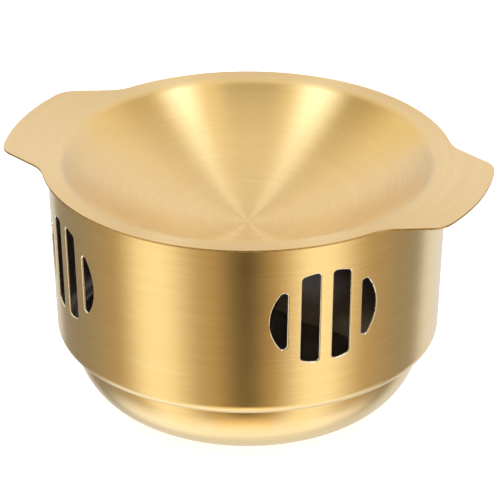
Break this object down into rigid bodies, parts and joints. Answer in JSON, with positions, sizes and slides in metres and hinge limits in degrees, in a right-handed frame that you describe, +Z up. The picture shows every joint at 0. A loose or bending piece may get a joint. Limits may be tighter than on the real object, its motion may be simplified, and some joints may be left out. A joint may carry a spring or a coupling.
{
  "type": "food warmer pot",
  "caption": "Round gold-coloured steel food warmer: an eared shallow serving pan resting on a vented stove shell with a stepped round bottom and a small spirit burner inside.",
  "frame": {"origin": "middle of the flat foot that the stove stands on", "axes": "+Z up along the pot's axis, +X through one of the pan's two ears"},
  "size_m": [0.2388, 0.2, 0.1226],
  "materials": {
    "gold_steel": "satin brushed, gold coated",
    "burner_steel": "satin, plain steel",
    "mineral_wool": "matt fibre"
  },
  "bodies": {
    "stove": {"stove_body": "gold_steel"},
    "pan": {"serving_pan": "gold_steel"},
    "burner": {"fuel_cup": "burner_steel", "wick_pad": "mineral_wool", "wick_screen": "burner_steel", "burner_cover": "burner_steel", "regulator_rivet": "burner_steel"},
    "regulator": {"regulator_plate": "burner_steel"}
  },
  "joints": [
    {"name": "pan_lift", "type": "slide", "parent": "stove", "child": "pan", "axis": [0, 0, 1], "range_m": [0, 0.15]},
    {"name": "burner_lift", "type": "slide", "parent": "stove", "child": "burner", "axis": [0, 0, 1], "range_m": [0, 0.04]},
    {"name": "regulator_swing", "type": "hinge", "parent": "burner", "child": "regulator", "pos_m": [0, -0.01762, 0.02828], "axis": [0, 0, 1], "range_deg": [0, 100]}
  ]
}
